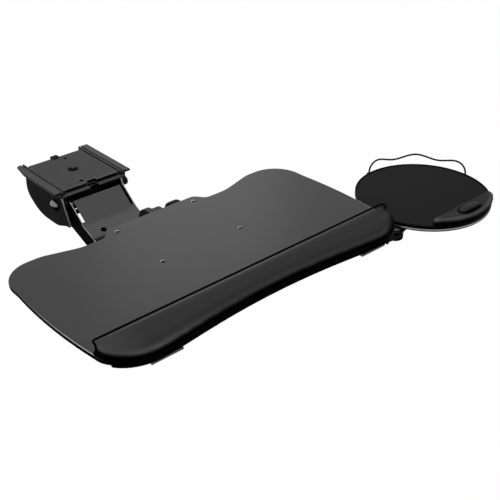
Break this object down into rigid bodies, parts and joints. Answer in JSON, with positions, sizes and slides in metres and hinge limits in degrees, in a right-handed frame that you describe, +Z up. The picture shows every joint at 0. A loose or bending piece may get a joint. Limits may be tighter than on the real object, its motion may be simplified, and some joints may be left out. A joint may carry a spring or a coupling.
{
  "type": "under-desk keyboard tray",
  "caption": "Sliding under-desk keyboard tray: swivelling spring arm, tilting dark board with a padded palm rest, and a round mouse platform on a swing arm",
  "frame": {"origin": "on the swivel axis, at the top face of the carriage plate", "axes": "+X to the user's right, +Y to the rear under the desk, +Z up; the user sits at -Y; the tray is stored raised, with the board level"},
  "size_m": [0.759, 0.6043, 0.1344],
  "materials": {
    "frame_paint": "semi-matt fine-grained black powder coat",
    "steel": "plain zinc-plated steel",
    "nylon": "natural nylon",
    "black_plastic": "satin moulded black",
    "board_laminate": "fine-textured charcoal laminate with a black core",
    "palm_cover": "soft matt black leatherette over foam",
    "pad_cloth": "fine woven black cloth",
    "wrist_skin": "soft black skin over gel",
    "guard_wire": "gloss black coated wire"
  },
  "bodies": {
    "carriage": {"carriage_plate": "frame_paint", "carriage_base": "frame_paint", "glide_left": "black_plastic", "glide_right": "black_plastic", "glide_rivets": "steel", "stop_bumper": "black_plastic", "swivel_bolt": "frame_paint", "thrust_washer": "nylon", "nut_washer": "steel", "swivel_nut": "steel"},
    "swivel": {"swivel_bracket": "frame_paint", "rear_shaft": "steel", "shaft_cap": "steel", "spring_sleeve": "nylon", "lift_spring": "steel", "pivot_washers": "nylon", "rear_link_pin": "steel"},
    "arm": {"arm_plate_left": "frame_paint", "arm_plate_right": "frame_paint", "arm_cover": "frame_paint", "arm_cross_bars": "frame_paint"},
    "link": {"control_link": "frame_paint"},
    "head": {"head_bracket": "frame_paint", "front_shaft": "steel", "front_shaft_clips": "steel", "front_washers": "nylon", "front_link_pin": "steel", "tilt_shaft": "steel", "tilt_spacer": "nylon"},
    "tilt_dial": {"tilt_dial": "black_plastic"},
    "lock_knob": {"lock_knob": "black_plastic"},
    "board": {"tilt_plate": "frame_paint", "board_screws": "steel", "board": "board_laminate", "palm_base": "black_plastic", "palm_rest": "palm_cover", "palm_clip_left": "black_plastic", "palm_clip_right": "black_plastic", "clip_screws": "steel", "mouse_bracket": "frame_paint", "bracket_screws": "steel", "swing_bolt": "steel"},
    "clamp_knob": {"clamp_knob": "black_plastic"},
    "mouse_arm": {"mouse_arm": "frame_paint"},
    "mouse_platform": {"platform_spindle": "steel", "spindle_washer": "nylon", "spindle_clip": "steel", "platform_tray": "black_plastic", "mouse_pad": "pad_cloth", "wrist_rest": "wrist_skin", "wrist_gel": "wrist_skin", "wire_guard": "guard_wire", "guard_sockets": "black_plastic"}
  },
  "joints": [
    {"name": "swivel", "type": "hinge", "parent": "carriage", "child": "swivel", "pos_m": [0, 0, -0.0135], "axis": [0, 0, 1], "continuous": true},
    {"name": "arm_lift", "type": "hinge", "parent": "swivel", "child": "arm", "pos_m": [0, -0.034, -0.0334], "axis": [-1, 0, 0], "range_deg": [-40, 10], "deforming": ["lift_spring"]},
    {"name": "link_swing", "type": "hinge", "parent": "swivel", "child": "link", "pos_m": [0, -0.02, -0.0474], "axis": [-1, 0, 0], "range_deg": [-40, 10]},
    {"name": "head_level", "type": "hinge", "parent": "arm", "child": "head", "pos_m": [0, -0.164, -0.0854], "axis": [-1, 0, 0], "range_deg": [-10, 40]},
    {"name": "board_tilt", "type": "hinge", "parent": "head", "child": "board", "pos_m": [0, -0.197, -0.022], "axis": [-1, 0, 0], "range_deg": [-15, 15]},
    {"name": "tilt_dial_turn", "type": "hinge", "parent": "head", "child": "tilt_dial", "pos_m": [0.061, -0.197, -0.022], "axis": [1, 0, 0], "range_deg": [-90, 90]},
    {"name": "lock_knob_turn", "type": "hinge", "parent": "swivel", "child": "lock_knob", "pos_m": [0.068, -0.034, -0.0334], "axis": [1, 0, 0], "range_deg": [-180, 180]},
    {"name": "mouse_swing", "type": "hinge", "parent": "board", "child": "mouse_arm", "pos_m": [0.281, -0.457, -0.027], "axis": [0, 0, 1], "range_deg": [-40, 12]},
    {"name": "platform_turn", "type": "hinge", "parent": "mouse_arm", "child": "mouse_platform", "pos_m": [0.38248, -0.42636, -0.027], "axis": [0, 0, 1], "range_deg": [-45, 45]},
    {"name": "clamp_knob_turn", "type": "hinge", "parent": "board", "child": "clamp_knob", "pos_m": [0.281, -0.457, -0.038], "axis": [0, 0, 1], "range_deg": [-180, 180]}
  ],
  "couplings": [
    {"joint": "link_swing", "follows": "arm_lift", "ratio": 1},
    {"joint": "head_level", "follows": "arm_lift", "ratio": -1}
  ]
}
